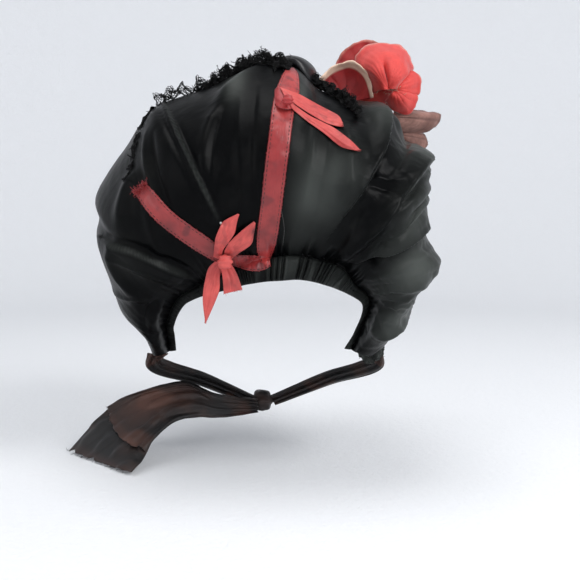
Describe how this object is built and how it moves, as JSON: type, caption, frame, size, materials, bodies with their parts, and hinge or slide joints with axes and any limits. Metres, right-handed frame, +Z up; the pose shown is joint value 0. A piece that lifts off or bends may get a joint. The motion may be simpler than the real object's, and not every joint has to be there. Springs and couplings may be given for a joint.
{
  "type": "poke bonnet",
  "caption": "Victorian bonnet of puffed black silk with a poke brim, coral ribbons and bows, a silk rose with leaves, black lace edging and brown chin ties.",
  "frame": {"origin": "point where the top of a worn head touches the crown's hollow", "axes": "+Z up, the brim opens towards +Y, the gathered nape faces -Y, +X to the right when looking at the nape from behind"},
  "size_m": [0.3055, 0.2215, 0.3467],
  "materials": {
    "black_silk": "satin",
    "black_lace": "matte",
    "coral_satin": "satin",
    "rose_silk": "matte",
    "leaf_cloth": "matte",
    "tie_silk": "satin"
  },
  "bodies": {
    "root": {"crown": "black_silk", "brim": "black_silk", "nape_casing": "black_silk", "crest_loop": "black_silk", "lace_edging": "black_lace", "lace_bunch": "black_lace", "ribbon_diagonal": "coral_satin", "ribbon_turn": "coral_satin", "ribbon_vertical": "coral_satin", "bow_lower_loop_left": "coral_satin", "bow_lower_loop_right": "coral_satin", "bow_lower_tail_left": "coral_satin", "bow_lower_tail_right": "coral_satin", "bow_lower_knot": "coral_satin", "bow_upper_loop": "coral_satin", "bow_upper_tail_upper": "coral_satin", "bow_upper_tail_lower": "coral_satin", "bow_upper_knot": "coral_satin", "petal_inner_far": "rose_silk", "petal_inner_near": "rose_silk", "petal_far_right": "rose_silk", "petal_crest": "rose_silk", "petal_right": "rose_silk", "petal_big": "rose_silk", "petal_far_left": "rose_silk", "petal_left": "rose_silk", "petal_low": "rose_silk", "rose_heart": "rose_silk", "leaf_lower": "leaf_cloth", "leaf_upper": "leaf_cloth", "chin_band_left": "tie_silk", "chin_band_right": "tie_silk", "chin_knot": "tie_silk", "tie_tail_lower": "tie_silk", "tie_tail_upper": "tie_silk"}
  },
  "joints": []
}
